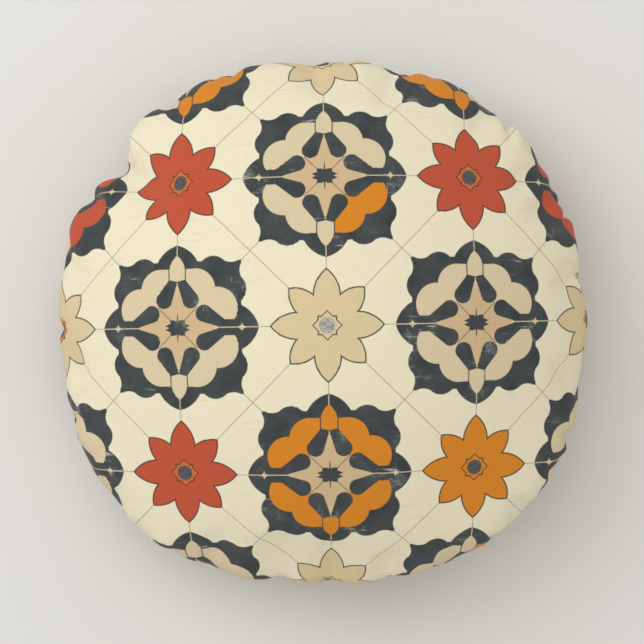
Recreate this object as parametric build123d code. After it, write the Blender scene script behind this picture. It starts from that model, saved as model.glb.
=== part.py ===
from build123d import *
import os
from math import asin, atan2, cos, degrees, hypot, radians, sin

# Round knife-edge floor cushion: a zipped fabric cover round a fibre-filled insert.
# Millimetres and degrees. +Z is up and the origin is the centre of the area it rests on.
# Angles run anticlockwise from +X, seen from above. Every layer is a body of revolution
# about Z. Rings are given by radius and by height above or below the seam.

# Cover cloth: two round panels, seamed at the rim and turned right side out
flat_radius = 395.0  # each panel's seam line, laid flat
seam_height = 104.0
crown_height = 272.0
rest_radius = 150.0  # the flat area on the floor
shoulder_radius = 33.0  # the roll of cloth above and below the seam
shoulder_centre = 292.0
tuck_angle = 57.0  # how far the roll turns in below its widest point
cover_cloth = 0.8
allowance_inner = 298.0  # where the turned-in seam allowances end
sewn_allowance = (0.0, 1.2)
sewn_back = 0.3  # how far behind the seam's edge the sewn allowances start
zipped_allowance = (2.4, 3.0)
zipped_reach = 2.2  # how far past the seam's edge the zipped ones run, into the roll of cloth
seam_thread = 0.5
cover_thread_radius = 306.0

# Zip, hidden in the seam
closed_angle = -44.0
open_angle = -151.0
slit_half = 0.6
slit_spare = 0.5  # degrees of slit past each end of the zip
tape_end_gap = 0.1  # degrees between an end of the slit and of the tapes
tape_outer = 308.2
tape_heights = (1.9, 2.3)
coil_radii = (306.0, 308.0)
coil_heights = (0.5, 1.85)
tape_thread_radii = (301.0, 301.5)
tape_thread_height = 0.4
stop_arc = 0.35
stop_spare = 0.19  # degrees left between the slider and each stop
slider_half_length = 4.0
plate_half_height = 1.6
inner_plate = (304.0, 305.5)
front_plate = (308.3, 308.8)
post_half_height = 0.25
neck_half_height = 0.3
neck_half_width = 2.5

# Pull tab, hinged on a pin across the slider's two ears
pin_centre = 314.9
pin_radius = 0.6
eye_clearance = 0.05
eye_radius = 1.3
eye_half_width = 2.0
ear_radius = 1.6
ear_inner, ear_outer = 2.2, 3.2
bridge = (312.4, 313.2)
bridge_half_height = 1.3
tab_length = 22.0
tab_thickness = 1.2
tab_shoulder = 2.4  # from the pin's centre to where the tab starts to widen
tab_end_radius = 3.25
tab_hole_radius = 1.2
tab_gap = 0.4  # between the hanging tab and the cloth

# Insert: lining cloth round the fill, pressed into a groove by the cover's allowances
layer_gap = 0.3
insert_cloth = 0.6
groove_inner = 294.0
groove_half = 3.4
insert_allowance_inner = 283.5
insert_thread_radius = 291.0
fill_slot_half = 1.4  # the groove in the fill that the insert's allowances and thread lie in
fill_slot_back = 0.5
closing_middle, closing_arc = 90.0, 30.0  # the gap it was filled through, sewn by hand

# Care label, left blank
label_start, label_arc = 20.0, 8.0
label_radii = (298.5, 309.0)
label_heights = (-2.0, -1.7)

# How far touching shapes run into each other to fuse, and how far a cut runs past what it cuts
cloth_overlap = 0.3
metal_overlap = 0.1
past = 1.0

# Centres and radii that make the section's arcs meet smoothly
shoulder_rise = slit_half + shoulder_radius * sin(radians(tuck_angle))
upper_centre = seam_height + shoulder_rise
lower_centre = seam_height - shoulder_rise
fall = crown_height - upper_centre
dome_radius = (fall**2 + shoulder_centre**2 - shoulder_radius**2) / (2 * (fall - shoulder_radius))
reach = shoulder_centre - rest_radius
base_radius = (reach**2 + lower_centre**2 - shoulder_radius**2) / (2 * (lower_centre - shoulder_radius))
dome_end = degrees(atan2(upper_centre - crown_height + dome_radius, shoulder_centre))
base_start = degrees(atan2(lower_centre - base_radius, reach))


def outline(depth):
    """Half section of the filled cushion, depth inside the cover's outer surface."""
    shoulder = shoulder_radius - depth
    dome_centre = (0, crown_height - dome_radius)
    dome = CenterArc(dome_centre, dome_radius - depth, dome_end, 90 - dome_end)
    upper = CenterArc((shoulder_centre, upper_centre), shoulder, -tuck_angle, tuck_angle + dome_end)
    lower = CenterArc((shoulder_centre, lower_centre), shoulder, base_start, tuck_angle - base_start)
    base = CenterArc((rest_radius, base_radius), base_radius - depth, -90, base_start + 90)
    seam = Line(upper @ 0, lower @ 1)
    floor = Line(base @ 0, (0, depth))
    axis = Line(floor @ 1, dome @ 1)
    return make_face([dome, upper, seam, lower, base, floor, axis])


def box_section(inner, outer, low, high):
    """Rectangle in the half section; heights are from the seam."""
    middle = Pos((inner + outer) / 2, seam_height + (low + high) / 2)
    return middle * Rectangle(outer - inner, abs(high - low))


def half_section(side):
    """All that lies above the seam for side 1, or below it for side -1."""
    return box_section(0, 2 * shoulder_centre, 0, side * 2 * crown_height)


def turned(section, start=0.0, end=360.0):
    """The section revolved about Z between two angles."""
    return Rot(0, 0, start) * revolve(Plane.XZ * section, Axis.Z, end - start)


def ring(inner, outer, low, high, start=0.0, end=360.0):
    return turned(box_section(inner, outer, low, high), start, end)


def both_sides(inner, outer, low, high, start, end):
    """A ring above the seam and its mirror image below, as two solids."""
    return Compound([ring(inner, outer, side * low, side * high, start, end) for side in (1, -1)])


slit_start, slit_end = open_angle - slit_spare, closed_angle + slit_spare


def cover_panel(side):
    """One cover panel with its allowances turned in, and cut back along the zip."""
    cloth = outline(0) - outline(cover_cloth)
    panel = turned(cloth & half_section(side))
    seam_edge = shoulder_centre + shoulder_radius * cos(radians(tuck_angle))
    panel -= ring(tape_outer, seam_edge + past, 0, side * slit_half, slit_start, slit_end)
    low, high = sewn_allowance
    panel += ring(allowance_inner, seam_edge - sewn_back, side * low, side * high, slit_end, slit_start + 360)
    low, high = zipped_allowance
    panel += ring(allowance_inner, seam_edge + zipped_reach, side * low, side * high, slit_start, slit_end)
    return panel


def cover_seam_thread():
    outer = cover_thread_radius + seam_thread
    top = sewn_allowance[1]
    return both_sides(cover_thread_radius, outer, top, top + seam_thread, slit_end, slit_start + 360)


def care_label():
    low, high = label_heights
    return ring(*label_radii, low, high, label_start, label_start + label_arc)


def zip_tape(side):
    low, high = tape_heights
    start, end = slit_start + tape_end_gap, slit_end - tape_end_gap
    return ring(allowance_inner, tape_outer, side * low, side * high, start, end)


def zip_coil(side):
    low, high = coil_heights
    start, end = open_angle + stop_arc, closed_angle - stop_arc
    return ring(*coil_radii, side * low, side * high, start, end)


def zip_stitching(side):
    """The row of stitches that holds one tape to its allowance, against the tape."""
    low = tape_heights[0]
    return ring(*tape_thread_radii, side * (low - tape_thread_height), side * low, open_angle, closed_angle)


def zip_top_stops():
    low, high = coil_heights
    return both_sides(*coil_radii, low, high, closed_angle - stop_arc, closed_angle)


def zip_bottom_stop():
    high = coil_heights[1]
    return ring(*coil_radii, -high, high, open_angle, open_angle + stop_arc)


half_arc = degrees(slider_half_length / coil_radii[0])
slider_angle = closed_angle - stop_arc - stop_spare - half_arc
slider_travel = slider_angle - (open_angle + stop_arc + stop_spare + half_arc)


def across(radius, half_width, middle=0.0):
    """Cylinder on the pull tab's hinge line, for a slider that stands at angle 0."""
    return Pos(pin_centre, middle, seam_height) * Rot(90, 0, 0) * Cylinder(radius, 2 * half_width)


def zip_slider():
    """Two plates round the coils, joined by a post, with a neck out to two ears."""
    plate = (-plate_half_height, plate_half_height)
    neck_arc = degrees(neck_half_width / front_plate[0])
    slider = ring(*inner_plate, *plate, -half_arc, half_arc)
    slider += ring(*front_plate, *plate, -half_arc, half_arc)
    post = (inner_plate[1] - metal_overlap, front_plate[0] + metal_overlap)
    slider += ring(*post, -post_half_height, post_half_height, -neck_arc / 2, neck_arc / 2)
    neck = (front_plate[1] - metal_overlap, bridge[0] + metal_overlap)
    slider += ring(*neck, -neck_half_height, neck_half_height, -neck_arc, neck_arc)
    bridge_middle = Pos(sum(bridge) / 2, 0, seam_height)
    slider += bridge_middle * Box(bridge[1] - bridge[0], 2 * ear_outer, 2 * bridge_half_height)
    for side in (1, -1):
        middle = side * (ear_inner + ear_outer) / 2
        root = Pos((bridge[0] + pin_centre) / 2, middle, seam_height)
        slider += root * Box(pin_centre - bridge[0], ear_outer - ear_inner, 2 * ear_radius)
        slider += across(ear_radius, (ear_outer - ear_inner) / 2, middle)
    slider -= across(pin_radius, ear_outer + past)
    return slider


def pull_tab():
    """Teardrop tab, hanging from the pin and leaning out over the lower roll of cloth."""
    end = Pos(0, tab_end_radius - tab_length) * Circle(tab_end_radius)
    shoulder = Pos(0, -tab_shoulder) * Circle(eye_half_width)
    blade = make_hull((end + shoulder).edges())
    blade += Pos(0, -eye_half_width / 2) * Rectangle(2 * eye_half_width, eye_half_width)
    blade -= Pos(0, tab_end_radius - tab_length) * Circle(tab_hole_radius)
    hinge = Pos(pin_centre, 0, seam_height)
    tab = hinge * extrude(Plane.YZ * blade, tab_thickness / 2, both=True)
    tab += across(eye_radius, eye_half_width)
    tab -= across(pin_radius + eye_clearance, eye_half_width + past)
    return hinge * Rot(0, -tab_lean, 0) * hinge.inverse() * tab


pin_from_roll = hypot(pin_centre - shoulder_centre, shoulder_rise)
roll_bearing = degrees(atan2(pin_centre - shoulder_centre, shoulder_rise))
tab_lean = degrees(asin((shoulder_radius + tab_gap + tab_thickness / 2) / pin_from_roll)) - roll_bearing


def at_slider(shape):
    """Moves a shape modelled at angle 0 to where the slider stands with the zip closed."""
    return Rot(0, 0, slider_angle) * shape


def insert_section(depth):
    """Half section of the insert, depth inside its outer surface."""
    half = groove_half + depth
    groove = box_section(groove_inner - depth, 2 * shoulder_centre, -half, half)
    return outline(cover_cloth + layer_gap + depth) - groove


def insert_panel(side):
    lining = insert_section(0) - insert_section(insert_cloth)
    panel = turned(lining & half_section(side))
    panel += ring(insert_allowance_inner, groove_inner - cloth_overlap, 0, side * insert_cloth)
    return panel


def fibre_fill():
    section = insert_section(insert_cloth + layer_gap)
    slot_inner = insert_allowance_inner - fill_slot_back
    return turned(section - box_section(slot_inner, groove_inner, -fill_slot_half, fill_slot_half))


def insert_seam_thread():
    start = closing_middle + closing_arc / 2
    outer = insert_thread_radius + seam_thread
    top = insert_cloth + seam_thread
    return both_sides(insert_thread_radius, outer, insert_cloth, top, start, start + 360 - closing_arc)


def insert_closing_thread():
    start = closing_middle - closing_arc / 2
    half = seam_thread / 2
    return ring(groove_inner, groove_inner + seam_thread, -half, half, start, start + closing_arc)


def write(node, shape):
    export_step(shape, f"parts/{node}.step")


os.makedirs("parts", exist_ok=True)
for place, side in (("top", 1), ("bottom", -1)):
    write(f"cover_{place}_panel", cover_panel(side))
    write(f"insert_{place}_panel", insert_panel(side))
for place, side in (("upper", 1), ("lower", -1)):
    write(f"zip_tape_{place}", zip_tape(side))
    write(f"zip_coil_{place}", zip_coil(side))
    write(f"zip_stitching_{place}", zip_stitching(side))
write("cover_seam_thread", cover_seam_thread())
write("care_label", care_label())
write("zip_top_stops", zip_top_stops())
write("zip_bottom_stop", zip_bottom_stop())
write("zip_slider", at_slider(zip_slider()))
write("zip_pull_pin", at_slider(across(pin_radius, ear_outer)))
write("zip_pull_tab", at_slider(pull_tab()))
write("insert_seam_thread", insert_seam_thread())
write("insert_closing_thread", insert_closing_thread())
write("fibre_fill", fibre_fill())

shoulder_length = radians(tuck_angle + dome_end) * shoulder_radius
top_length = radians(90 - dome_end) * dome_radius + shoulder_length
print(f"top panel, centre to seam: {top_length:.1f} against {flat_radius} flat")
lower_length = radians(tuck_angle - base_start) * shoulder_radius
bottom_length = rest_radius + radians(base_start + 90) * base_radius + lower_length
print(f"bottom panel, centre to seam: {bottom_length:.1f} against {flat_radius} flat")
print(f"slider at {slider_angle:.2f} deg, travel {slider_travel:.2f} deg")
print(f"pull tab leans {tab_lean:.2f} deg, turns {180 - 2 * tab_lean:.2f} deg, pin at radius {pin_centre}")
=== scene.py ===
import bmesh
import bpy
import math
import numpy as np
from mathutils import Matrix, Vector


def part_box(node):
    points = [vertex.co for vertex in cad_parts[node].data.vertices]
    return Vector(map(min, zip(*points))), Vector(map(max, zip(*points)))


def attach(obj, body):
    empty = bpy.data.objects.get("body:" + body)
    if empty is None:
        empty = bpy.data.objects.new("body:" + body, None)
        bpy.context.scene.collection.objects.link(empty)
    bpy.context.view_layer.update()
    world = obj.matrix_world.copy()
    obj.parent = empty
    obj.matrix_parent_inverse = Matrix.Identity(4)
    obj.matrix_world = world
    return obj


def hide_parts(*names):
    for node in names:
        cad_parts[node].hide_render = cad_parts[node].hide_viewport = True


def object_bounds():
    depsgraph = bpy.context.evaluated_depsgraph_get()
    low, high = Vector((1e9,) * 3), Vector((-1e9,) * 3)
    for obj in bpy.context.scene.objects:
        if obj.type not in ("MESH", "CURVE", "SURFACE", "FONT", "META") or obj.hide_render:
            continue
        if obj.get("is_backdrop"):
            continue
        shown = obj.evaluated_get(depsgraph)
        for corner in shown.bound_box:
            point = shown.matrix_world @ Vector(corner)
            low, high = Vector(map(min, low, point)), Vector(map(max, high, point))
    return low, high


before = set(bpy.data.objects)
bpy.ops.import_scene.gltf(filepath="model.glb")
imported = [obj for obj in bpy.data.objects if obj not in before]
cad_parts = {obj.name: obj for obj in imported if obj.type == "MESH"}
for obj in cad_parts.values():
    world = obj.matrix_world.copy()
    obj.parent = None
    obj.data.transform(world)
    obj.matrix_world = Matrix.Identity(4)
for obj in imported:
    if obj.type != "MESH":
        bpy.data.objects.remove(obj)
cad_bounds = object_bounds()

# ---------------------------------------------------------------- sizes, in metres
TOP_LOW, TOP_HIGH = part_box("cover_top_panel")
SEAM_Z = TOP_LOW[2]
CROWN_Z = TOP_HIGH[2]
FLAT_RADIUS = 0.395  # each panel's seam line, laid flat
BULGE_RADIUS = (TOP_HIGH[0] - TOP_LOW[0]) / 2
ROLL_RADIUS = 0.033  # the roll of cloth above and below the seam
ROLL_CENTRE = BULGE_RADIUS - ROLL_RADIUS
TUCK = math.radians(57)
REST_RADIUS = 0.150
SLIT_HALF = 0.0006
ZIP_MIDDLE, ZIP_HALF = -97.5, 54.5  # degrees
LABEL_MIDDLE = 24.0
ALLOWANCE = 0.012
GATHER_DEPTH = 0.0016  # of the small waves round the rim
SPARE_CLOTH = 0.05  # how much longer the rim is than it looks, as a share
SEAM_PULL_FROM = 0.009  # a pulled-in place deeper than this draws the seam in as well
SEAM_WANDER = 0.0024  # how far the seam strays up and down
SWELL_MEAN, SWELL_WAVE, SWELL_TURN = 0.0016, 0.0065, 48  # of the rim; the turn is in degrees
BENDING = 1.0
SETTLE_FRAMES = 18
SETTLE_CAP = 0.012  # how far settling may move a point, nearly
LOWER_INSET = 0.004  # how much narrower the lower roll is
CREASES = 52  # short creases where the spare cloth is gathered into the seam
CREASE_DEPTH, CREASE_DEPTH_SPREAD = 0.0085, 0.0055
CREASE_WIDTH, CREASE_WIDTH_SPREAD = 1.55, 0.35  # half of it, in degrees
CREASE_LEAN = 90  # degrees, before it is thinned out towards the seam
# Where the print's centre falls on each panel, and how far the print is turned, as the cloth was cut
PRINT_CENTRES = {1: (0.0054, -0.0017), -1: (0.041, -0.023)}
PRINT_TURNS = {1: math.radians(1.1), -1: math.radians(17)}
REPEAT = 0.180  # the print's repeat on the flat cloth


# ---------------------------------------------------------------- the cushion's form
def arc_points(centre, radius, start, end, count=120):
    """Points of an arc in the half section, from one angle to the other."""
    angles = np.linspace(start, end, count)
    return np.stack([centre[0] + radius * np.cos(angles), centre[1] + radius * np.sin(angles)], axis=1)


def section(side):
    """The half section of one panel from its centre to the seam, evenly spaced along the cloth."""
    rise = SLIT_HALF + ROLL_RADIUS * math.sin(TUCK)
    roll_z = SEAM_Z + side * rise
    if side > 0:
        fall = CROWN_Z - roll_z
        radius = (fall**2 + ROLL_CENTRE**2 - ROLL_RADIUS**2) / (2 * (fall - ROLL_RADIUS))
        end = math.atan2(radius - fall, ROLL_CENTRE)
        face = arc_points((0, CROWN_Z - radius), radius, math.pi / 2, end, 400)
        roll = arc_points((ROLL_CENTRE, roll_z), ROLL_RADIUS, end, -TUCK)
    else:
        reach = ROLL_CENTRE - REST_RADIUS
        radius = (reach**2 + roll_z**2 - ROLL_RADIUS**2) / (2 * (roll_z - ROLL_RADIUS))
        start = math.atan2(roll_z - radius, reach)
        base = arc_points((REST_RADIUS, radius), radius, -math.pi / 2, start, 200)
        face = np.concatenate([[(0.0, 0.0)], base])
        roll = arc_points((ROLL_CENTRE, roll_z), ROLL_RADIUS, start, TUCK)
    points = np.concatenate([face, roll[1:], [(roll[-1][0], SEAM_Z)]])
    lengths = np.concatenate([[0], np.cumsum(np.hypot(*np.diff(points, axis=0).T))])
    even = np.linspace(0, lengths[-1], 801)
    return np.stack([np.interp(even, lengths, points[:, k]) for k in (0, 1)], axis=1)


def along(profile, t):
    """Radius, height and outward normal of the section at the shares t of the way to the seam."""
    steps = np.linspace(0, 1, len(profile))
    radius, height = (np.interp(t, steps, profile[:, k]) for k in (0, 1))
    slope = np.gradient(profile, axis=0)
    slope /= np.hypot(*slope.T)[:, None]
    dr, dz = (np.interp(t, steps, slope[:, k]) for k in (0, 1))
    return radius, height, -dz, dr


# Where gathered cloth pulls the rim in: degrees round from +X, depth in mm, half width in degrees
PUCKERS = (
    (10, 6, 5), (28, 7, 4), (36, 6, 3), (52, 8, 4), (74, 9, 5), (92, 8, 4), (124, 8, 4),
    (142.5, 35, 4.4), (152, 10, 3), (168, 4, 3), (190, 4, 6), (220, 3, 4), (245, 7, 4), (261, 9, 6),
    (272, 6, 4), (285, 5, 5), (300, 3, 4), (318, 3, 4), (348, 7, 5),
)


def turn_between(a, b):
    """How far the angle a is from b, in degrees either way."""
    return (a - b + 180) % 360 - 180


def rim_dip(degrees):
    """How far the rim is drawn in at an angle, in metres."""
    dip = np.zeros_like(degrees)
    for middle, depth, width in PUCKERS:
        away = np.abs(turn_between(degrees, middle)) / width
        dip += 0.001 * depth / np.cosh(1.3 * away) ** 1.2
    return dip


def rim_swell(degrees):
    """The cloth gives more on the bias, so the rim stands out between the axes."""
    return SWELL_MEAN + SWELL_WAVE * np.cos(4 * np.radians(degrees - SWELL_TURN))


def smooth(low, high, x):
    """0 up to low and 1 from high on, with a smooth step between."""
    t = np.clip((x - low) / (high - low), 0, 1)
    return t * t * (3 - 2 * t)


def free_seam(degrees):
    """1 where the seam may wander, 0 along the zip and at the care label, which hold it straight."""
    return np.minimum(
        smooth(ZIP_HALF, ZIP_HALF + 14, np.abs(turn_between(degrees, ZIP_MIDDLE))),
        smooth(6, 16, np.abs(turn_between(degrees, LABEL_MIDDLE))),
    )


RINGS = [(0.0, 1)]
for inner, outer, count, steps in (
    (0.0, 0.012, 24, 2), (0.012, 0.024, 24, 2), (0.024, 0.048, 48, 4),
    (0.048, 0.096, 96, 8), (0.096, 0.192, 192, 16), (0.192, FLAT_RADIUS, 384, 32),
):
    RINGS += [(inner + (outer - inner) * (k + 1) / steps, count) for k in range(steps)]
RIM_RINGS = 32  # the outermost rings, which all have the same count of points
RIM_COUNT = RINGS[-1][1]
RING_OF = np.concatenate([[k] * count for k, (_, count) in enumerate(RINGS)])


def panel_grid():
    """The flat panel: distance out and angle of each point, and its faces, anticlockwise."""
    out, turn, starts, faces = [], [], [], []
    for radius, count in RINGS:
        starts.append(len(out))
        out += [radius] * count
        turn += [2 * math.pi * k / count for k in range(count)]
    for (_, n), (_, m), a, b in zip(RINGS, RINGS[1:], starts, starts[1:]):
        for k in range(n):
            if n == 1:
                faces += [(a, b + j, b + (j + 1) % m) for j in range(m)]
            elif n == m:
                faces.append((a + k, b + k, b + (k + 1) % m, a + (k + 1) % n))
            else:
                first, second, third = b + 2 * k, b + 2 * k + 1, b + (2 * k + 2) % m
                near, far = a + k, a + (k + 1) % n
                faces += [(near, first, second), (near, second, far), (far, second, third)]
    return np.array(out), np.array(turn), faces, starts[-1]


OUT, TURN, FACES, RIM = panel_grid()
BACK_FACES = [tuple(reversed(face)) for face in FACES]
DEGREES = np.degrees(TURN)
SHARE = OUT / FLAT_RADIUS
OUTWARD = np.stack([np.cos(TURN), np.sin(TURN), 0 * TURN], axis=1)


def start_shape(side):
    """The panel filled and gathered, before the cloth settles."""
    radius, height, out_r, out_z = along(section(side), SHARE)
    if side < 0:
        out_r, out_z = -out_r, -out_z
    dip, swell, free = rim_dip(DEGREES), rim_swell(DEGREES), free_seam(DEGREES)
    reach = smooth(0.55, 0.93, SHARE) ** 1.5
    at_seam = smooth(0.93, 1.0, SHARE)
    seam_pull = np.maximum(dip - SEAM_PULL_FROM, 0) * free
    wander = SEAM_WANDER * np.sin(6 * TURN + 0.8) * free
    move = reach * (swell - dip) * (1 - at_seam)
    gathers = (
        np.sin(31 * TURN + 0.6) * np.sin(7 * TURN + 1.1)
        + 0.7 * np.sin(53 * TURN + 2.0 + side)
        + 0.6 * np.sin(83 * TURN + 0.4 - side)
    )
    move += GATHER_DEPTH * gathers * smooth(0.86, 0.955, SHARE) * (1 - smooth(0.975, 1.0, SHARE))
    if side < 0:
        move *= smooth(0.46, 0.6, SHARE)
    radius = radius + out_r * move - seam_pull * at_seam
    height = height + out_z * move + wander * at_seam
    return np.stack([radius * np.cos(TURN), radius * np.sin(TURN), height], axis=1)


def rest_shape(side):
    """The cloth as cut: the same length from centre to seam, with more cloth round the rim."""
    profile = section(side)
    steps = np.linspace(0, 1, len(profile))
    wide = profile[:, 0] * (1 + SPARE_CLOTH * smooth(0.45, 1.0, steps))
    length = np.hypot(*np.diff(profile, axis=0).T)
    climb = np.sqrt(np.maximum(length**2 - np.diff(wide) ** 2, 0))
    level = np.concatenate([[0], np.cumsum(climb)])
    radius, height = np.interp(SHARE, steps, wide), np.interp(SHARE, steps, level)
    return np.stack([radius * np.cos(TURN), radius * np.sin(TURN), -side * height], axis=1)


def joined(top, bottom):
    """Both panels' points, with the bottom panel's rim left out because the top's stands for it."""
    return np.concatenate([top, bottom[:RIM]])


def joined_faces():
    """The faces of both panels, for the points that joined gives."""
    lower = [tuple(len(OUT) + k if k < RIM else k for k in reversed(face)) for face in FACES]
    return FACES + lower


def new_mesh(name, points, faces):
    """A mesh object in the scene."""
    mesh = bpy.data.meshes.new(name)
    mesh.from_pydata([tuple(p) for p in points], [], faces)
    mesh.update()
    ob = bpy.data.objects.new(name, mesh)
    bpy.context.scene.collection.objects.link(ob)
    return ob


def in_zip(degrees):
    """True along the zip."""
    return np.abs(turn_between(degrees, ZIP_MIDDLE)) < ZIP_HALF


def settled(start):
    """Both panels after the cloth has settled under the fill's pressure."""
    cloth = new_mesh("settling_cloth", start, joined_faces())
    cloth.shape_key_add(name="Basis")
    cut = cloth.shape_key_add(name="cut")
    cut.data.foreach_set("co", joined(rest_shape(1), rest_shape(-1)).ravel())
    pin = cloth.vertex_groups.new(name="pin")
    fixed = [k for k in range(RIM, len(OUT)) if in_zip(DEGREES[k])]
    fixed += [len(OUT) + k for k in range(RIM) if OUT[k] < 0.8 * REST_RADIUS]
    pin.add(fixed, 1.0, "REPLACE")
    modifier = cloth.modifiers.new("Cloth", "CLOTH")
    settings = modifier.settings
    settings.quality = 5
    settings.mass = 0.3
    settings.tension_stiffness = 15
    settings.compression_stiffness = 10
    settings.shear_stiffness = 3
    settings.bending_stiffness = BENDING
    settings.air_damping = 2
    settings.use_pressure = True
    settings.uniform_pressure_force = 3.0
    settings.vertex_group_mass = "pin"
    settings.rest_shape_key = cut
    settings.effector_weights.gravity = 0
    modifier.collision_settings.use_collision = False
    scene = bpy.context.scene
    scene.frame_start, scene.frame_end = 1, SETTLE_FRAMES
    modifier.point_cache.frame_start, modifier.point_cache.frame_end = 1, SETTLE_FRAMES
    for number in range(1, SETTLE_FRAMES + 1):
        scene.frame_set(number)
    done = cloth.evaluated_get(bpy.context.evaluated_depsgraph_get()).to_mesh()
    points = np.empty(len(start) * 3)
    done.vertices.foreach_get("co", points)
    move = points.reshape(-1, 3) - start
    far = np.linalg.norm(move, axis=1)
    move *= (SETTLE_CAP * np.tanh(far / SETTLE_CAP) / np.maximum(far, 1e-9))[:, None]
    scene.frame_set(1)
    bpy.data.objects.remove(cloth)
    return start + move


def without_drift(move):
    """The settling with each ring's average taken out, so that the section keeps its size."""
    radial = (move * OUTWARD).sum(axis=1)
    totals = np.bincount(RING_OF)
    mean_out = (np.bincount(RING_OF, radial) / totals)[RING_OF]
    mean_up = (np.bincount(RING_OF, move[:, 2]) / totals)[RING_OF]
    return move - OUTWARD * mean_out[:, None] - np.array([0, 0, 1]) * mean_up[:, None]


def to_outline(panel_points, inset):
    """Draws the rolls in or out until the widest point at each angle is where it should be.
    Broad differences are taken up over a wide band of the cloth, and narrow ones near the rim."""
    rim = panel_points[-RIM_RINGS * RIM_COUNT:].reshape(RIM_RINGS, RIM_COUNT, 3)
    widest = np.hypot(rim[:, :, 0], rim[:, :, 1]).max(axis=0)
    degrees = DEGREES[-RIM_COUNT:]
    wanted = BULGE_RADIUS - inset + rim_swell(degrees) - rim_dip(degrees)
    waves = np.fft.rfft(wanted - widest)
    counts = np.arange(len(waves))
    move = np.zeros(len(OUT))
    for fewest, most_waves, inner in ((0, 18, 0.5), (18, 100, 0.78)):
        band = np.fft.irfft(np.where((counts >= fewest) & (counts < most_waves), waves, 0), RIM_COUNT)
        needed = np.interp(DEGREES, np.append(degrees, 360), np.append(band, band[0]))
        move += needed * smooth(inner, 0.89, SHARE)
    move *= 1 - smooth(0.94, 1.0, SHARE)
    return panel_points + OUTWARD * move[:, None]


BY_ZIP = 1 - smooth(ZIP_HALF - 2, ZIP_HALF + 10, np.abs(turn_between(DEGREES, ZIP_MIDDLE)))  # 1 along it


def held_by_zip(panel_points, side):
    """The tape keeps the cloth beside it from bulging or sagging past its shape, which leaves room
    for the slider and its tab."""
    radius, height, _, _ = along(section(side), SHARE)
    held = BY_ZIP * smooth(0.922, 0.95, SHARE)
    bulge = np.maximum(np.hypot(panel_points[:, 0], panel_points[:, 1]) - radius, 0)
    sag = np.maximum(side * (height - panel_points[:, 2]), 0)
    upright = np.array([0, 0, side])
    return panel_points - OUTWARD * (held * bulge)[:, None] + upright * (held * sag)[:, None]


def point_normals(panel_points, faces):
    """Point normals of a panel that has only been made as an array."""
    ob = new_mesh("normals", panel_points, faces)
    normals = np.empty(len(panel_points) * 3)
    ob.data.vertex_normals.foreach_get("vector", normals)
    mesh = ob.data
    bpy.data.objects.remove(ob)
    bpy.data.meshes.remove(mesh)
    return normals.reshape(-1, 3)


def creased(panel_points, faces, side):
    """Presses creases into the rolls: each narrow, deepest between the widest point and the seam,
    a little slanted and raised along its edges. Along the zip they are shallower."""
    depth = np.zeros(len(OUT))
    for k in range(CREASES):
        vary = math.sin(1.7 * k + side)
        shift = math.sin(2.9 * k + 1.3 * side)
        lean = math.sin(4.3 * k + side)
        middle = 360 / CREASES * (k + 0.5 * shift)
        half_width = CREASE_WIDTH + CREASE_WIDTH_SPREAD * lean
        inner = 0.845 - 0.04 * vary
        slant = CREASE_LEAN * lean * (1 - SHARE) * SHARE
        away = turn_between(DEGREES, middle + slant) / half_width
        fold = np.exp(-away**2) - 0.3 * np.exp(-((away / 2.3) ** 2))
        depth += (CREASE_DEPTH + CREASE_DEPTH_SPREAD * vary) * fold * smooth(inner, 0.94, SHARE)
    depth *= (1 - 0.45 * BY_ZIP) * (1 - smooth(0.972, 1.0, SHARE))
    return panel_points - depth[:, None] * point_normals(panel_points, faces)


start_top, start_bottom = start_shape(1), start_shape(-1)
points = settled(joined(start_top, start_bottom))
top_points = start_top + without_drift(points[: len(OUT)] - start_top)
bottom_points = np.concatenate([points[len(OUT):], points[RIM: len(OUT)]])
bottom_points = start_bottom + without_drift(bottom_points - start_bottom)
bottom_points[RIM:] = top_points[RIM:]
top_points, bottom_points = to_outline(top_points, 0), to_outline(bottom_points, LOWER_INSET)
top_points, bottom_points = creased(top_points, FACES, 1), creased(bottom_points, BACK_FACES, -1)
top_points, bottom_points = held_by_zip(top_points, 1), held_by_zip(bottom_points, -1)
bottom_points[:, 2] = np.maximum(bottom_points[:, 2], 0)


def seam_ring(inset, lift):
    """A ring that follows the seam, further in by inset and higher by lift, which may vary."""
    ring = top_points[RIM:].copy()
    radius = np.hypot(ring[:, 0], ring[:, 1])
    ring[:, :2] *= ((radius - inset) / radius)[:, None]
    ring[:, 2] += lift
    return ring


def with_folds(panel_points, faces, side, folds):
    """The panel with more rings joined on at its rim, each given by its inset and its lift."""
    rings = [seam_ring(inset, side * lift) for inset, lift in folds]
    extra = []
    for k in range(len(folds) - 1):
        low, high = RIM + k * RIM_COUNT, RIM + (k + 1) * RIM_COUNT
        for j in range(RIM_COUNT):
            n = (j + 1) % RIM_COUNT
            face = (low + j, high + j, high + n, low + n)
            extra.append(face if side > 0 else face[::-1])
    return np.concatenate([panel_points[:RIM], *rings]), faces + extra


def cover_folds():
    """The cover's allowances, turned in behind the seam and parted along the zip."""
    zipped = in_zip(DEGREES[RIM:])
    return [(0.0, np.where(zipped, SLIT_HALF, 0.0001)), (0.0007, np.where(zipped, 0.0012, 0.0005)),
            (0.0012, np.where(zipped, 0.0025, 0.0007)), (ALLOWANCE, np.where(zipped, 0.0027, 0.0007))]


def inner_panel(panel_points, faces, depth, seam_inset):
    """A layer inside the cover, depth below it, which narrows to its own seam behind the allowances."""
    inside = panel_points - depth * point_normals(panel_points, faces)
    behind = seam_ring(seam_inset, 0.0)
    column = np.rint(TURN / (2 * math.pi) * RIM_COUNT).astype(int) % RIM_COUNT
    to_seam = smooth(0.955, 1.0, SHARE)[:, None]
    return inside * (1 - to_seam) + behind[column] * to_seam


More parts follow.
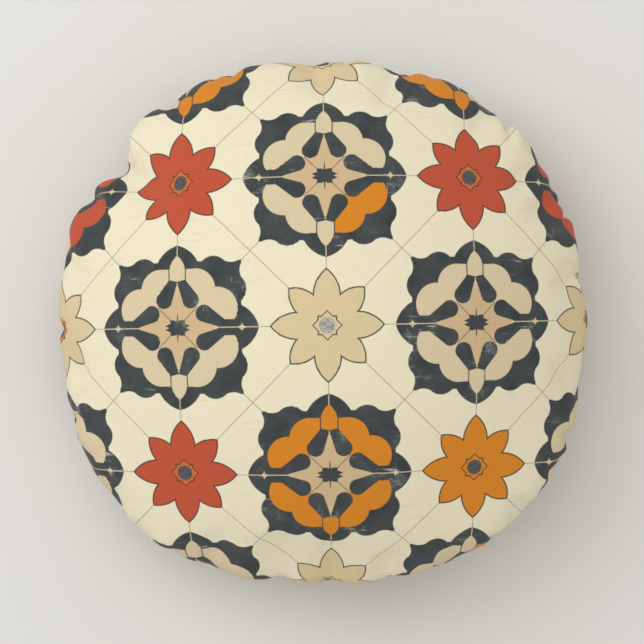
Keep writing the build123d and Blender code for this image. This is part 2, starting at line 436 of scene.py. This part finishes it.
def flat_places(side, folds):
    """Where each point lies in the print, and its share of the way to the seam."""
    length = np.hypot(*np.diff(section(side), axis=0).T).sum()
    out, turn = SHARE[:RIM] * length, TURN[:RIM]
    for inset, _ in folds:
        out, turn = np.append(out, np.full(RIM_COUNT, length + inset)), np.append(turn, TURN[RIM:])
    centre_x, centre_y = PRINT_CENTRES[side]
    x, y = out * np.cos(turn) - centre_x, side * out * np.sin(turn) - centre_y
    c, s = math.cos(PRINT_TURNS[side]), math.sin(PRINT_TURNS[side])
    return np.stack([(c * x + s * y) / REPEAT, (c * y - s * x) / REPEAT, out / length], axis=1)


def tube(name, path, radius, sides=5):
    """A round thread along an open path that runs round the cushion."""
    count = len(path)
    outward = path * (1, 1, 0) / np.hypot(path[:, 0], path[:, 1])[:, None]
    turns = 2 * math.pi * np.arange(sides) / sides
    rings = path[:, None, :] + radius * (
        np.cos(turns)[None, :, None] * outward[:, None, :]
        + np.sin(turns)[None, :, None] * np.array([0, 0, 1])
    )
    faces = []
    for k in range(count - 1):
        a, b = k * sides, (k + 1) * sides
        faces += [(a + j, a + (j + 1) % sides, b + (j + 1) % sides, b + j) for j in range(sides)]
    faces += [tuple(reversed(range(sides))), tuple(range((count - 1) * sides, count * sides))]
    return new_mesh(name, rings.reshape(-1, 3), faces)


def round_seam(start, end, count, inset, out_wave, up_wave, waves, lift=0.0):
    """A wavy path that follows the seam from one angle to another, in degrees."""
    turn = np.radians(np.linspace(start, end, count))
    ring = top_points[RIM:]
    ring_turn = np.radians(np.append(DEGREES[RIM:], 360))
    radius = np.hypot(ring[:, 0], ring[:, 1])
    place = turn % (2 * math.pi)
    out = np.interp(place, ring_turn, np.append(radius, radius[0])) - inset
    height = np.interp(place, ring_turn, np.append(ring[:, 2], ring[0, 2])) + lift
    phase = 2 * math.pi * waves * np.linspace(0, 1, count)
    out, height = out + out_wave * np.cos(phase), height + up_wave * np.sin(phase)
    return np.stack([out * np.cos(turn), out * np.sin(turn), height], axis=1)


# ---------------------------------------------------------------- material arithmetic
def srgb(red, green, blue):
    """A shader colour from the 0 to 255 values that a colour picker gives."""
    levels = [level / 255 for level in (red, green, blue)]
    return (*[c / 12.92 if c <= 0.04045 else ((c + 0.055) / 1.055) ** 2.4 for c in levels], 1.0)


def compute(kind, operation, values):
    """One Math or Vector Math node, fed by Values and constants."""
    tree = next(value.socket.id_data for value in values if isinstance(value, Value))
    made = tree.nodes.new("ShaderNode" + kind)
    made.operation = operation
    for slot, value in zip(made.inputs, values):
        if isinstance(value, Value):
            tree.links.new(value.socket, slot)
        else:
            slot.default_value = value
    return made


class Value:
    """A number or vector that varies over a surface. Arithmetic on it adds nodes to its material."""

    def __init__(self, socket):
        self.socket = socket

    def math(self, operation, *others):
        return Value(compute("Math", operation, (self, *others)).outputs[0])

    def __add__(self, other):
        return self.math("ADD", other)

    def __sub__(self, other):
        return self.math("SUBTRACT", other)

    def __mul__(self, other):
        return self.math("MULTIPLY", other)

    def __neg__(self):
        return self.math("MULTIPLY", -1.0)

    def __abs__(self):
        return self.math("ABSOLUTE")

    def ramp(self, low, high):
        """0 where this is below low, 1 above high; low may be the larger of the two."""
        made = compute("Math", "MULTIPLY_ADD", (self, 1 / (high - low), -low / (high - low)))
        made.use_clamp = True
        return Value(made.outputs[0])

    def equals(self, other):
        """1 where this is within a tenth of the other, which tells whole numbers apart."""
        return self.math("COMPARE", other, 0.1)


def least(first, *others):
    """The smallest of some Values: of shapes, their union."""
    for other in others:
        first = first.math("MINIMUM", other)
    return first


def most(first, *others):
    """The largest of some Values: of shapes, what they share."""
    for other in others:
        first = first.math("MAXIMUM", other)
    return first


def point(x, y):
    """A vector from two Values."""
    tree = x.socket.id_data
    made = tree.nodes.new("ShaderNodeCombineXYZ")
    tree.links.new(x.socket, made.inputs[0])
    tree.links.new(y.socket, made.inputs[1])
    return Value(made.outputs[0])


def scaled(vector, *factors):
    return Value(compute("VectorMath", "MULTIPLY", (vector, factors)).outputs[0])


def circle(where, x, y, radius):
    """Distance outside a circle; shapes are negative inside."""
    return Value(compute("VectorMath", "DISTANCE", (where, (x, y, 0))).outputs["Value"]) - radius


def dot(where, x, y):
    return Value(compute("VectorMath", "DOT_PRODUCT", (where, (x, y, 0))).outputs["Value"])


def length_of(vector):
    return Value(compute("VectorMath", "LENGTH", (vector,)).outputs["Value"])


def half_plane(where, x, y, degrees):
    """Distance past a line through a point, on the side that the angle points to."""
    dx, dy = math.cos(math.radians(degrees)), math.sin(math.radians(degrees))
    return dot(where, dx, dy) - (x * dx + y * dy)


def bar(where, start, end, first, last):
    """Distance outside a rounded bar that tapers from one radius to another."""
    run = (end[0] - start[0], end[1] - start[1])
    square = run[0] ** 2 + run[1] ** 2
    offset = Value(compute("VectorMath", "SUBTRACT", (where, (*start, 0))).outputs[0])
    share = dot(offset, run[0] / square, run[1] / square).ramp(0, 1)
    foot = Value(compute("VectorMath", "MULTIPLY_ADD", (share, (-run[0], -run[1], 0), offset)).outputs[0])
    return length_of(foot) - (share * (last - first) + first)


def noise(where, scale, detail=2.0, rough=0.5):
    tree = where.socket.id_data
    made = tree.nodes.new("ShaderNodeTexNoise")
    tree.links.new(where.socket, made.inputs["Vector"])
    for name, value in (("Scale", scale), ("Detail", detail), ("Roughness", rough)):
        made.inputs[name].default_value = value
    return Value(made.outputs["Fac"])


def painted(base, colour, amount):
    """The base colour with another laid over it as far as amount says."""
    tree = amount.socket.id_data
    mix = tree.nodes.new("ShaderNodeMix")
    mix.data_type = "RGBA"
    factor, under, over = mix.inputs[0], mix.inputs[6], mix.inputs[7]
    for value, slot in ((amount, factor), (base, under), (colour, over)):
        if isinstance(value, Value):
            tree.links.new(value.socket, slot)
        else:
            slot.default_value = value
    return Value(mix.outputs[2])


class Surface:
    """A material under construction, with the coordinates that its pattern is drawn in."""

    def __init__(self, name, flat=False):
        self.material = bpy.data.materials.new(name)
        self.material.use_nodes = True
        self.tree = self.material.node_tree
        self.shader = self.tree.nodes["Principled BSDF"]
        if flat:
            attribute = self.tree.nodes.new("ShaderNodeAttribute")
            attribute.attribute_name = "flat"
            self.where = Value(attribute.outputs["Vector"])
        else:
            self.where = Value(self.tree.nodes.new("ShaderNodeTexCoord").outputs["Object"])

    def split(self):
        """The three coordinates, each as a Value."""
        parts = self.tree.nodes.new("ShaderNodeSeparateXYZ")
        self.tree.links.new(self.where.socket, parts.inputs[0])
        return [Value(output) for output in parts.outputs]

    def finish(self, colour, roughness, height, depth, **constants):
        """Connects colour, roughness and a bump whose height is in units of depth, in metres."""
        bump = self.tree.nodes.new("ShaderNodeBump")
        bump.inputs["Distance"].default_value = depth
        self.tree.links.new(height.socket, bump.inputs["Height"])
        self.tree.links.new(bump.outputs[0], self.shader.inputs["Normal"])
        self.tree.links.new(colour.socket, self.shader.inputs["Base Color"])
        self.tree.links.new(roughness.socket, self.shader.inputs["Roughness"])
        for name, value in constants.items():
            self.shader.inputs[name.replace("_", " ")].default_value = value
        return self.material


# ---------------------------------------------------------------- the printed cloth
CREAM, CREAM_LINE = srgb(231, 223, 196), srgb(138, 130, 112)
SLATE, SLATE_WORN, SLATE_SCRATCH = srgb(47, 54, 57), srgb(72, 78, 80), srgb(200, 198, 189)
SAND, FLOWER_SAND, STAR_SAND = srgb(213, 197, 163), srgb(214, 195, 154), srgb(203, 177, 138)
RED, ORANGE, INK = srgb(187, 78, 50), srgb(211, 130, 24), srgb(58, 53, 44)
DULL_ORANGE = srgb(199, 104, 44)
SMUDGE, GREY_DISC, PALE_DISC = srgb(168, 154, 128), srgb(86, 88, 88), srgb(188, 186, 178)
# the second colour here is painted shade, laid where the weave is low
GRAIN, PAINTED_WEAVE_SHADE = srgb(150, 124, 92), srgb(120, 112, 98)

# The print's unit is its repeat
EDGE = 0.006  # softness of the print's edges
TILE_LINE, PETAL_LINE, STAR_LINE, THREAD_LINE = 0.0022, 0.0046, 0.0044, 0.003  # half widths
DISC_RADIUS = 0.053


def lay(colour, ink, shape):
    """Prints an ink where a shape's distance is negative."""
    return painted(colour, ink, shape.ramp(EDGE / 2, -EDGE / 2))


def cells(u, v):
    """Which motif a point belongs to, and its place from that motif's centre, for both kinds of motif."""
    plus, minus = u + v, u - v
    for centre in (0.0, 0.5):
        along_plus = (plus * 0.5 + (0.5 - centre)).math("FLOOR") + centre
        along_minus = (minus * 0.5 + (0.5 - centre)).math("FLOOR") + centre
        column, row = along_plus + along_minus, along_plus - along_minus
        yield column, row, u - column, v - row


def at_cell(column, row, i, j):
    """1 in one cell of the print, 0 elsewhere."""
    return column.equals(i) * row.equals(j)


def flower_print(colour, column, row, x, y):
    """Eight petals round a small star with a disc in it."""
    across, up = abs(x), abs(y)
    folded = point(most(across, up), least(across, up))
    petals = least(
        circle(folded, 0.19, -0.14, 0.228),
        circle(folded, 0.05, 0.215, 0.197),
        circle(folded, 0, 0, 0.15),
    )
    inner = abs(column).equals(1) * abs(row).equals(1)
    orange = at_cell(column, row, 1, -1)
    ink = painted(painted(FLOWER_SAND, RED, inner), ORANGE, orange)
    colour = lay(colour, ink, petals)
    colour = lay(colour, INK, abs(petals) - PETAL_LINE)
    star = least(most(across, up) - 0.060, across + up - 0.096)
    bright = most(orange, abs(column).equals(2))
    middle = painted(painted(ink, DULL_ORANGE, inner), ORANGE, bright)
    colour = lay(colour, middle, star)
    colour = lay(colour, INK, abs(star) - STAR_LINE)
    speckle = noise(point(x, y), 45.0, 3.0).ramp(0.35, 0.7)
    dark_disc = most(inner, abs(column).equals(2), abs(row).equals(2))
    disc = painted(painted(PALE_DISC, GREY_DISC, dark_disc), SLATE, speckle * 0.7)
    return lay(colour, disc, circle(folded, 0, 0, DISC_RADIUS))


def lobe_and_bud_inks(column, row, x, y):
    """Most lobes and buds are sand; some medallions have them red or orange, in whole or in part."""
    east, north = x.math("GREATER_THAN", 0.0), y.math("GREATER_THAN", 0.0)
    west, south = abs(east - 1.0), abs(north - 1.0)
    orange = most(
        at_cell(column, row, 0, -1),
        at_cell(column, row, 0, 1) * east * south,
        at_cell(column, row, -1, 2) * most(east, north),
        at_cell(column, row, 1, 2) * west,
        at_cell(column, row, 1, -2) * east,
    )
    red = abs(column).equals(2) * row.equals(1)
    orange_buds = most(at_cell(column, row, 0, -1), at_cell(column, row, -1, 2), at_cell(column, row, 1, 2))
    lobes = painted(painted(SAND, ORANGE, orange), RED, red)
    return lobes, painted(SAND, ORANGE, orange_buds)


def medallion_print(colour, column, row, x, y, dark):
    """A scalloped dark ground with eight lobes, four buds and a star."""
    across, up = abs(x), abs(y)
    quarter = point(across, up)
    far, near = most(across, up), least(across, up)
    folded = point(far, near)
    ground = least(
        circle(folded, 0.345, -0.048, 0.2148),
        circle(folded, 0.37, 0.25, 0.105),
        most(far - 0.442, -circle(folded, 0.53, 0.375, 0.1)),
    )
    colour = lay(colour, dark, ground)
    drops = bar(folded, (0.186, 0.094), (0.300, 0.034), 0.058, 0.032)
    drops = most(drops, -half_plane(folded, 0.118, 0.060, 68.0))
    lobes = least(
        circle(quarter, 0.275, 0.128, 0.14),
        circle(quarter, 0.125, 0.256, 0.139),
        most(abs(across - 0.0865) - 0.0335, abs(up - 0.324) - 0.069),
    )
    lobes = most(lobes, -(across - 0.056), -(up - 0.053), -drops)
    lobe_ink, bud_ink = lobe_and_bud_inks(column, row, x, y)
    colour = lay(colour, lobe_ink, lobes)
    star = most(far + near * 1.148 - 0.285, -drops)
    colour = lay(colour, STAR_SAND, star)
    spoke = most(abs(far - near) - THREAD_LINE, circle(folded, 0, 0, 0.195), -circle(folded, 0, 0, 0.06))
    colour = lay(colour, INK, spoke)
    prongs = across + abs(up - 0.013) * 2.2 - 0.088
    emblem = least(
        most(far - 0.052, -circle(folded, 0.078, 0.0, 0.033)),
        most(prongs, up - 0.026),
        most(across + up * 0.08 - 0.0095, up - 0.095),
    )
    colour = lay(colour, dark, emblem)
    colour = lay(colour, SAND, most(across - 0.0035, abs(up - 0.272) - 0.042))
    arch = least(circle(quarter, -0.078, 0.376, 0.1325), most(across - 0.0535, abs(up - 0.355) - 0.045))
    bud = most(arch, -(up - across * 0.25 - 0.309))
    colour = lay(colour, dark, bud - 0.008)
    colour = lay(colour, bud_ink, bud)
    upright_line = most(across - THREAD_LINE, abs(up - 0.515) - 0.033)
    level_line = most(up - THREAD_LINE, abs(across - 0.41) - 0.16)
    colour = lay(colour, SAND, least(upright_line, level_line))
    sparkle = (abs(across - 0.442) * 20).math("SQRT") + (up * 31).math("SQRT") - 1
    return lay(colour, SAND, sparkle * 0.02)


def tile_lines(u, v):
    """The thin lines between the motifs: along both axes through their centres, and the diagonals."""
    in_u, in_v = abs(u - u.math("ROUND")), abs(v - v.math("ROUND"))
    plus, minus = u + v, u - v
    diagonal = least(abs(plus - plus.math("ROUND")), abs(minus - minus.math("ROUND"))) * math.sqrt(0.5)
    return least(in_u, in_v, diagonal)


def woven(x, y, pitch):
    """Height of a plain weave of the given pitch, in shares of a thread, with uneven threads."""
    turn = 2 * math.pi / pitch
    over_under = (x * turn).math("SINE") * (y * turn).math("SINE")
    slubs = noise(point(x * (0.04 / pitch), y * (0.9 / pitch)), 1.0, 2.0)
    cross_slubs = noise(point(x * (0.9 / pitch), y * (0.04 / pitch)), 1.0, 2.0)
    return over_under * 0.5 + slubs + cross_slubs


def printed_cloth(name):
    """Cotton canvas with a tile print, a little worn, and puckered where it meets the seam."""
    surface = Surface(name, flat=True)
    u, v, to_seam = surface.split()
    across, up = u * (REPEAT * 1000), v * (REPEAT * 1000)  # in mm
    place = point(u, v)
    worn = noise(place, 5.0, 4.0, 0.6)
    streaks = noise(scaled(place, 4.0, 30.0, 1.0), 1.0, 4.0, 0.65)
    fall = noise(scaled(place, 34.0, 5.0, 1.0), 1.0, 3.0, 0.6)
    patches = noise(place, 2.6, 2.0).ramp(0.54, 0.64)
    dark = painted(SLATE, SLATE_WORN, worn.ramp(0.35, 0.75))
    chalk = noise(place, 8.0, 5.0, 0.7).ramp(0.52, 0.68) * noise(place, 90.0, 3.0, 0.8).ramp(0.40, 0.66)
    scratch = most(streaks.ramp(0.60, 0.68), fall.ramp(0.66, 0.74), chalk) * patches
    dark = painted(dark, SLATE_SCRATCH, scratch * 0.85)
    smudge = noise(scaled(place, 3.0, 7.0, 1.0), 1.0, 5.0, 0.7).ramp(0.60, 0.82)
    colour = painted(CREAM, SMUDGE, smudge * 0.35)
    colour = lay(colour, CREAM_LINE, tile_lines(u, v) - TILE_LINE)
    flower_cell, medallion_cell = cells(u, v)
    colour = flower_print(colour, *flower_cell)
    colour = medallion_print(colour, *medallion_cell, dark)
    rubbed = noise(place, 60.0, 3.0, 0.7).ramp(0.66, 0.80) * patches
    colour = painted(colour, CREAM, rubbed * 0.4)
    grain = noise(scaled(place, 2.5, 42.0, 1.0), 1.0, 4.0, 0.7).ramp(0.56, 0.74)
    colour = painted(colour, GRAIN, grain * worn.ramp(0.42, 0.60) * 0.22)
    weave = woven(across, up, 1.1)
    # painted shade: the cloth is darkened where the weave is low, between the threads
    colour = painted(colour, PAINTED_WEAVE_SHADE, weave.ramp(1.05, 0.55) * 0.10)
    gathers = noise(place, 14.0, 2.0)
    seam_side = to_seam.ramp(0.93, 1.0)
    fibres = noise(place, 90.0, 3.0)
    height = weave * 0.12 + gathers * 0.5 + fibres * 0.06 + seam_side * gathers * 1.5
    roughness = worn * 0.12 + 0.80
    constants = {"Sheen_Weight": 0.12, "Sheen_Roughness": 0.5, "Specular_IOR_Level": 0.25}
    return surface.finish(colour, roughness, height, 0.001, **constants)


SEAM_RADIUS_MM = 310.0


def around(surface):
    """Distance round the cushion's axis at the seam, and height, both in mm."""
    x, y, z = surface.split()
    return y.math("ARCTAN2", x) * SEAM_RADIUS_MM, z * 1000


def lining_cloth(name):
    """Plain white woven cloth, with uneven threads, faint mottling and painted shade where the weave is
    low.
    """
    surface = Surface(name)
    colour, shade = srgb(240, 239, 234), srgb(208, 206, 198)
    x, y, z = [value * 1000 for value in surface.split()]
    weave = woven(x + z, y + z * 0.5, 0.8)
    mottle = noise(surface.where, 30.0, 4.0, 0.6)
    # the shade colour serves the mottling, a tone of the cloth, and also the painted shade in the weave
    # below
    mix = painted(colour, shade, mottle.ramp(0.35, 0.8) * 0.6)
    # painted shade: darker where the weave is low, between the threads
    mix = painted(mix, shade, weave.ramp(1.05, 0.55) * 0.4)
    return surface.finish(mix, mottle * 0.2 + 0.72, weave + mottle, 0.0001, Sheen_Weight=0.1)


def wadding(name):
    """Loose polyester fibre: soft clumps with fine strands."""
    surface = Surface(name)
    clumps = noise(surface.where, 25.0, 5.0, 0.65)
    strands = noise(scaled(surface.where, 900.0, 140.0, 500.0), 1.0, 3.0, 0.7)
    shade = (clumps * 0.6 + strands * 0.5).ramp(0.5, 0.8)
    colour = painted(srgb(246, 246, 243), srgb(206, 206, 202), shade)
    height = clumps * 3.0 + strands * 0.4
    return surface.finish(colour, strands * 0.15 + 0.83, height, 0.001, Sheen_Weight=0.4)


def spun_thread(name, colour, shade):
    """Sewing thread with a twist along it, and painted shade in the twist's grooves."""
    surface = Surface(name)
    run, height = around(surface)
    twist_pitch = 0.7  # in mm
    twist = ((run + height * 2.0) * (2 * math.pi / twist_pitch)).math("SINE")
    # painted shade: darker in the grooves of the twist
    colour = painted(colour, shade, twist.ramp(0.2, -0.9) * 0.5)
    return surface.finish(colour, twist * 0.06 + 0.6, twist, 0.00006, Sheen_Weight=0.3)


def ribbed_tape(name):
    """Zip tape: polyester woven in fine ribs along its length, with painted shade between the ribs."""
    surface = Surface(name)
    x, y, _ = surface.split()
    radius = length_of(point(x, y)) * 1000
    run, _ = around(surface)
    rib_pitch, pick_pitch = 0.9, 0.8  # in mm
    ribs = (radius * (2 * math.pi / rib_pitch)).math("SINE")
    picks = run + (radius * (math.pi / rib_pitch)).math("SINE") * 0.4
    picks = (picks * (2 * math.pi / pick_pitch)).math("SINE")
    weave = ribs * 0.5 + picks * 0.5
    # painted shade: darker where the ribs and picks are low
    colour = painted(srgb(226, 218, 194), srgb(184, 174, 148), weave.ramp(0.2, -0.8) * 0.6)
    return surface.finish(colour, weave * 0.05 + 0.7, weave, 0.0001, Sheen_Weight=0.2)


def nylon_coil(name):
    """The zip's coil: smooth nylon with faint marks along it from drawing."""
    surface = Surface(name)
    run, height = around(surface)
    marks = noise(point(run * 0.4, height * 6.0), 1.0, 3.0)
    colour = painted(srgb(224, 215, 190), srgb(196, 184, 154), marks.ramp(0.35, 0.7))
    return surface.finish(colour, marks * 0.2 + 0.28, marks, 0.00003, Coat_Weight=0.2)


def plated_metal(name):
    """Antique brass plating, brushed, and duller where fingers don't polish it."""
    surface = Surface(name)
    dull = noise(surface.where, 240.0, 4.0, 0.6)
    brushed = noise(scaled(surface.where, 700.0, 700.0, 9000.0), 1.0, 2.0)
    pits = noise(surface.where, 1500.0, 2.0).ramp(0.72, 0.8)
    colour = painted(srgb(176, 150, 104), srgb(112, 92, 62), dull.ramp(0.40, 0.70))
    roughness = dull * 0.25 + brushed * 0.15 + 0.14
    return surface.finish(colour, roughness, brushed * 0.3 - pits, 0.00004, Metallic=1.0)


def satin_label(name):
    """Blank satin care label, with its long floats."""
    surface = Surface(name)
    run, height = around(surface)
    x, y, _ = surface.split()
    radius = length_of(point(x, y)) * 1000
    floats = noise(point(run * 0.5, radius * 9.0), 1.0, 2.0)
    colour = painted(srgb(240, 239, 234), srgb(212, 210, 204), floats.ramp(0.4, 0.7))
    return surface.finish(colour, floats * 0.2 + 0.3, floats + height * 0.01, 0.00008, Sheen_Weight=0.2)


MATERIALS = {
    "print": printed_cloth("printed_canvas"),
    "lining": lining_cloth("lining_cloth"),
    "filling": wadding("polyester_fibre"),
    # the sewing thread's second colour is the painted shade in its twist
    "thread": spun_thread("sewing_thread", srgb(232, 224, 200), srgb(168, 158, 132)),
    "tape": ribbed_tape("zip_tape_weave"),
    "coil": nylon_coil("zip_coil_nylon"),
    "metal": plated_metal("antique_brass"),
    "label": satin_label("label_satin"),
}


# ---------------------------------------------------------------- the pieces
def finished(piece, material, body="root"):
    """Gives a piece its material and slot, and makes it move with a body."""
    piece.data.polygons.foreach_set("use_smooth", [True] * len(piece.data.polygons))
    piece.data.materials.clear()
    piece.data.materials.append(MATERIALS[material])
    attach(piece, body)
    return piece


def cover(name, node, panel_points, faces, side):
    """One panel of the cover, with its allowance."""
    folds = cover_folds()
    piece = new_mesh(name, *with_folds(panel_points, faces, side, folds))
    subdivide = piece.modifiers.new("Subdivision", "SUBSURF")
    subdivide.levels = subdivide.render_levels = 1
    flat = piece.data.attributes.new("flat", "FLOAT_VECTOR", "POINT")
    flat.data.foreach_set("vector", flat_places(side, folds).ravel())
    finished(piece, "print")
    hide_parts(node)


INSERT_DEPTH, INSERT_INSET, INSERT_ALLOWANCE = 0.003, 0.018, 0.0105
INSERT_BACK = INSERT_INSET + INSERT_ALLOWANCE
FILL_DEPTH = 0.006
FILL_GAP = 0.001
insert_folds = [(INSERT_INSET, 0.0001), (INSERT_INSET + 0.0007, 0.0004), (INSERT_BACK, 0.0004)]


def insert(name, node, panel_points, faces, side):
    """One panel of the insert, with its allowance."""
    inside = inner_panel(panel_points, faces, INSERT_DEPTH, INSERT_INSET)
    piece = new_mesh(name, *with_folds(inside, faces, side, insert_folds))
    finished(piece, "lining")
    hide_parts(node)


cover("cover_top", "cover_top_panel", top_points, FACES, 1)
cover("cover_bottom", "cover_bottom_panel", bottom_points, BACK_FACES, -1)
insert("insert_top", "insert_top_panel", top_points, FACES, 1)
insert("insert_bottom", "insert_bottom_panel", bottom_points, BACK_FACES, -1)

fill_halves = [
    inner_panel(side_points, side_faces, FILL_DEPTH, INSERT_BACK + FILL_GAP)
    for side_points, side_faces in ((top_points, FACES), (bottom_points, BACK_FACES))
]
fill = finished(new_mesh("fibre", joined(*fill_halves), joined_faces()), "filling")
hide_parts("fibre_fill")

STITCH = 0.003
THREAD_RADIUS = 0.00025
SEAM_RADIUS = float(np.hypot(*top_points[RIM, :2]))


def stitches(name, node, start, end, inset, up_wave, out_wave=0.0, lift=0.0):
    """A row of stitches that follows the seam from one angle to another, in degrees."""
    waves = round(math.radians(end - start) * SEAM_RADIUS / STITCH)
    path = round_seam(start, end, 4 * waves + 1, inset, out_wave, up_wave, waves, lift)
    piece = finished(tube(name, path, THREAD_RADIUS), "thread")
    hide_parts(node)


sewn_start, sewn_end = ZIP_MIDDLE + ZIP_HALF + 0.5, ZIP_MIDDLE - ZIP_HALF + 359.5
stitches("cover_seam_stitches", "cover_seam_thread", sewn_start, sewn_end, 0.004, 0.0011)
closing_start, closing_end = 75, 105
seam_inset, closing_inset = INSERT_INSET + 0.002, INSERT_INSET - 0.0002
stitches("insert_seam_stitches", "insert_seam_thread", closing_end, closing_start + 360, seam_inset, 0.0007)
by_hand = (closing_start, closing_end, closing_inset, 0.0006, 0.0005)
stitches("insert_closing_stitches", "insert_closing_thread", *by_hand)

COIL_START, COIL_END = -150.6, -44.4  # degrees
COIL_TURN = 0.0013
COIL_INSET, COIL_LIFT = 0.003, 0.00118
COIL_DEPTH, COIL_RISE = 0.00085, 0.00048
COIL_THREAD_RADIUS = 0.0002
turns = round(math.radians(COIL_END - COIL_START) * SEAM_RADIUS / COIL_TURN)
for place, side in (("upper", 1), ("lower", -1)):
    rise, lift = side * COIL_RISE, side * COIL_LIFT
    path = round_seam(COIL_START, COIL_END, 8 * turns + 1, COIL_INSET, COIL_DEPTH, rise, turns, lift)
    coil = finished(tube(f"coil_{place}", path, COIL_THREAD_RADIUS), "coil")
    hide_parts(f"zip_coil_{place}")


def softened(name, node, body, width):
    """A copy of a metal part with its sharp edges rounded over, as casting and plating leave them."""
    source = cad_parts[node]
    mesh = bmesh.new()
    mesh.from_mesh(source.data)
    bmesh.ops.transform(mesh, matrix=source.matrix_world, verts=mesh.verts)
    bmesh.ops.remove_doubles(mesh, verts=mesh.verts, dist=1e-6)
    bmesh.ops.dissolve_limit(mesh, angle_limit=math.radians(2), verts=mesh.verts, edges=mesh.edges)
    piece = new_mesh(name, [], [])
    mesh.to_mesh(piece.data)
    mesh.free()
    bevel = piece.modifiers.new("Bevel", "BEVEL")
    bevel.width = width
    bevel.segments = 2
    bevel.limit_method = "ANGLE"
    bevel.angle_limit = math.radians(40)
    bevel.harden_normals = True
    finished(piece, "metal", body)
    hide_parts(node)


softened("slider", "zip_slider", "zip_slider", 0.00012)
softened("tab", "zip_pull_tab", "pull_tab", 0.00025)

CAD_MATERIALS = {
    "care_label": "label", "zip_tape_upper": "tape", "zip_tape_lower": "tape",
    "zip_stitching_upper": "thread", "zip_stitching_lower": "thread",
    "zip_top_stops": "metal", "zip_bottom_stop": "metal", "zip_pull_pin": "metal",
}
for node, material in CAD_MATERIALS.items():
    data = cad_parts[node].data
    data.materials.clear()
    data.materials.append(MATERIALS[material])

# ---------------------------------------------------------------- camera, light and floor
EYE = 4.0
RIM_HEIGHT = 0.13
WIDTH_SEEN = 644 * 0.0012104  # metres across the picture, at the rim's height
FLOOR_REACH = 3
corners = [(x * FLOOR_REACH, y * FLOOR_REACH, 0) for x, y in ((-1, -1), (1, -1), (1, 1), (-1, 1))]
floor = new_mesh("floor", corners, [(0, 1, 2, 3)])
paint = Surface("floor_paint")
mottle = noise(paint.where, 1.5, 3.0)
floor_colour = painted(srgb(223, 223, 220), srgb(217, 216, 213), mottle)
floor.data.materials.append(paint.finish(floor_colour, mottle * 0.1 + 0.85, mottle, 0.0005))
floor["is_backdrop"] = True
camera = bpy.data.objects.new("camera", bpy.data.cameras.new("camera"))
camera.location = (-0.0012, 0.0019, EYE)
camera.data.lens = camera.data.sensor_width * (EYE - RIM_HEIGHT) / WIDTH_SEEN
bpy.context.scene.collection.objects.link(camera)
bpy.context.scene.camera = camera


def area_light(name, place, size, energy, colour):
    """A square light at a place, turned to the middle of the floor."""
    light = bpy.data.objects.new(name, bpy.data.lights.new(name, "AREA"))
    light.data.energy, light.data.size, light.data.color = energy, size, colour
    light.location = place
    light.rotation_euler = (-Vector(place)).to_track_quat("-Z", "Y").to_euler()
    bpy.context.scene.collection.objects.link(light)


area_light("window", (-2.2, 1.6, 2.6), 2.4, 40, (0.96, 0.98, 1.0))
area_light("ceiling", (-0.4, 0.4, 3.6), 3.2, 34, (1.0, 0.99, 0.97))
world = bpy.data.worlds.new("world")
world.use_nodes = True
background = world.node_tree.nodes["Background"]
background.inputs["Color"].default_value = (1.0, 0.978, 0.936, 1.0)
background.inputs["Strength"].default_value = 0.685
bpy.context.scene.world = world
bpy.context.scene.view_settings.view_transform = "Standard"

sizes = {"cad": cad_bounds, "visual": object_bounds()}
{k: [list(map(float, corner)) for corner in v] for k, v in sizes.items()}
